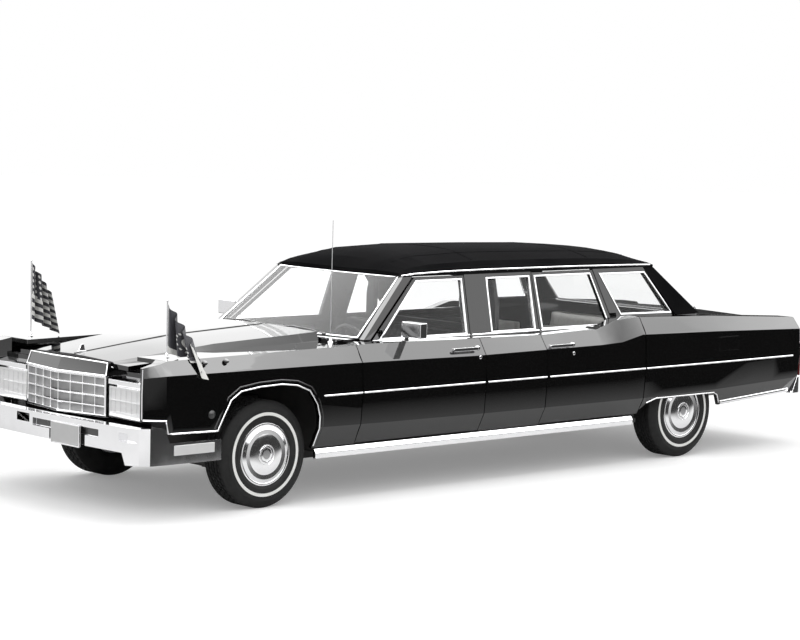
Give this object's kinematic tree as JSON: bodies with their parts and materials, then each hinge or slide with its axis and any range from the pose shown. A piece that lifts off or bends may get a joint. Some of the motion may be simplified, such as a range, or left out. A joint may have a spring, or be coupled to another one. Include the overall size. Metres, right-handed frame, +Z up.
{
  "type": "limousine",
  "caption": "Long black formal limousine with a padded roof, side-hinged doors, lifting hood and trunk lid, steered front wheels and flag staffs on the front fenders.",
  "frame": {"origin": "on the ground, at the middle of the overall length and width", "axes": "+X rearwards along the car, +Y to the car's right, +Z up"},
  "size_m": [6.5796, 2.18, 1.8419],
  "materials": {
    "paint": "deep gloss black",
    "vinyl": "grained roof covering",
    "chrome": "polished",
    "glass": "clear",
    "chassis": "satin black",
    "tyre": "matt rubber",
    "plate": "plain grey",
    "lens": "clear lens",
    "cast": "as cast",
    "dark_trim": "black leather",
    "pale_trim": "pale cloth",
    "flag": "dark cloth",
    "steel": "bare steel",
    "plastic": "black moulded"
  },
  "bodies": {
    "body": {"floor_pan": "chassis", "cowl": "paint", "chassis_frame": "chassis", "front_fenders": "paint", "nose_panel": "paint", "grille": "chrome", "headlamp_covers": "chrome", "front_bumper": "chrome", "number_plate": "plate", "centre_panels": "paint", "rear_quarters": "paint", "roof": "vinyl", "body_glass": "glass", "rear_deck": "paint", "tail_panel": "paint", "rear_bumper": "chrome", "lamps": "lens", "rocker_mouldings": "chrome", "engine": "cast", "rear_axle": "chassis", "exhaust": "steel", "fuel_tank": "steel", "dashboard": "dark_trim", "front_seat": "dark_trim", "jump_seats": "pale_trim", "rear_seat": "pale_trim", "partition": "dark_trim", "flagpoles": "chrome", "flag_left": "flag", "flag_right": "flag", "antenna": "chrome"},
    "steering_wheel": {"steering_wheel": "plastic"},
    "hood": {"hood": "paint"},
    "trunk_lid": {"trunk_lid": "paint"},
    "front_door_left": {"front_door_left": "paint", "front_door_left_glass": "glass", "front_door_left_mirror": "chrome"},
    "rear_door_left": {"rear_door_left": "paint", "rear_door_left_glass": "glass"},
    "knuckle_left": {"knuckle_left": "cast"},
    "wheel_front_left": {"tyre_front_left": "tyre", "wheel_front_left": "chrome"},
    "wheel_rear_left": {"tyre_rear_left": "tyre", "wheel_rear_left": "chrome"},
    "front_door_right": {"front_door_right": "paint", "front_door_right_glass": "glass", "front_door_right_mirror": "chrome"},
    "rear_door_right": {"rear_door_right": "paint", "rear_door_right_glass": "glass"},
    "knuckle_right": {"knuckle_right": "cast"},
    "wheel_front_right": {"tyre_front_right": "tyre", "wheel_front_right": "chrome"},
    "wheel_rear_right": {"tyre_rear_right": "tyre", "wheel_rear_right": "chrome"}
  },
  "joints": [
    {"name": "steer_left", "type": "hinge", "parent": "body", "child": "knuckle_left", "pos_m": [-2.19, -0.72, 0.352], "axis": [0, 0, 1], "range_deg": [-30, 30]},
    {"name": "steer_right", "type": "hinge", "parent": "body", "child": "knuckle_right", "pos_m": [-2.19, 0.72, 0.352], "axis": [0, 0, 1], "range_deg": [-30, 30]},
    {"name": "roll_front_left", "type": "hinge", "parent": "knuckle_left", "child": "wheel_front_left", "pos_m": [-2.19, -0.8165, 0.352], "axis": [0, 1, 0], "continuous": true},
    {"name": "roll_rear_left", "type": "hinge", "parent": "body", "child": "wheel_rear_left", "pos_m": [1.899, -0.8165, 0.352], "axis": [0, 1, 0], "continuous": true},
    {"name": "roll_front_right", "type": "hinge", "parent": "knuckle_right", "child": "wheel_front_right", "pos_m": [-2.19, 0.8165, 0.352], "axis": [0, 1, 0], "continuous": true},
    {"name": "roll_rear_right", "type": "hinge", "parent": "body", "child": "wheel_rear_right", "pos_m": [1.899, 0.8165, 0.352], "axis": [0, 1, 0], "continuous": true},
    {"name": "front_door_left", "type": "hinge", "parent": "body", "child": "front_door_left", "pos_m": [-1.362, -0.97, 0.7], "axis": [0, 0, -1], "range_deg": [0, 65]},
    {"name": "rear_door_left", "type": "hinge", "parent": "body", "child": "rear_door_left", "pos_m": [1.3, -0.97, 0.7], "axis": [0, 0, 1], "range_deg": [0, 65]},
    {"name": "front_door_right", "type": "hinge", "parent": "body", "child": "front_door_right", "pos_m": [-1.362, 0.97, 0.7], "axis": [0, 0, 1], "range_deg": [0, 65]},
    {"name": "rear_door_right", "type": "hinge", "parent": "body", "child": "rear_door_right", "pos_m": [1.3, 0.97, 0.7], "axis": [0, 0, -1], "range_deg": [0, 65]},
    {"name": "steering_wheel", "type": "hinge", "parent": "body", "child": "steering_wheel", "pos_m": [-1, -0.4, 0.8887], "axis": [0.9063, 0, 0.4226], "range_deg": [-480, 480]},
    {"name": "hood", "type": "hinge", "parent": "body", "child": "hood", "pos_m": [-1.471, 0, 1.066], "axis": [0, 1, 0], "range_deg": [0, 50]},
    {"name": "trunk_lid", "type": "hinge", "parent": "body", "child": "trunk_lid", "pos_m": [2.262, 0, 1.054], "axis": [0, -1, 0], "range_deg": [0, 60]}
  ],
  "couplings": [
    {"joint": "steer_right", "follows": "steer_left", "ratio": 1},
    {"joint": "steering_wheel", "follows": "steer_left", "ratio": 16}
  ]
}
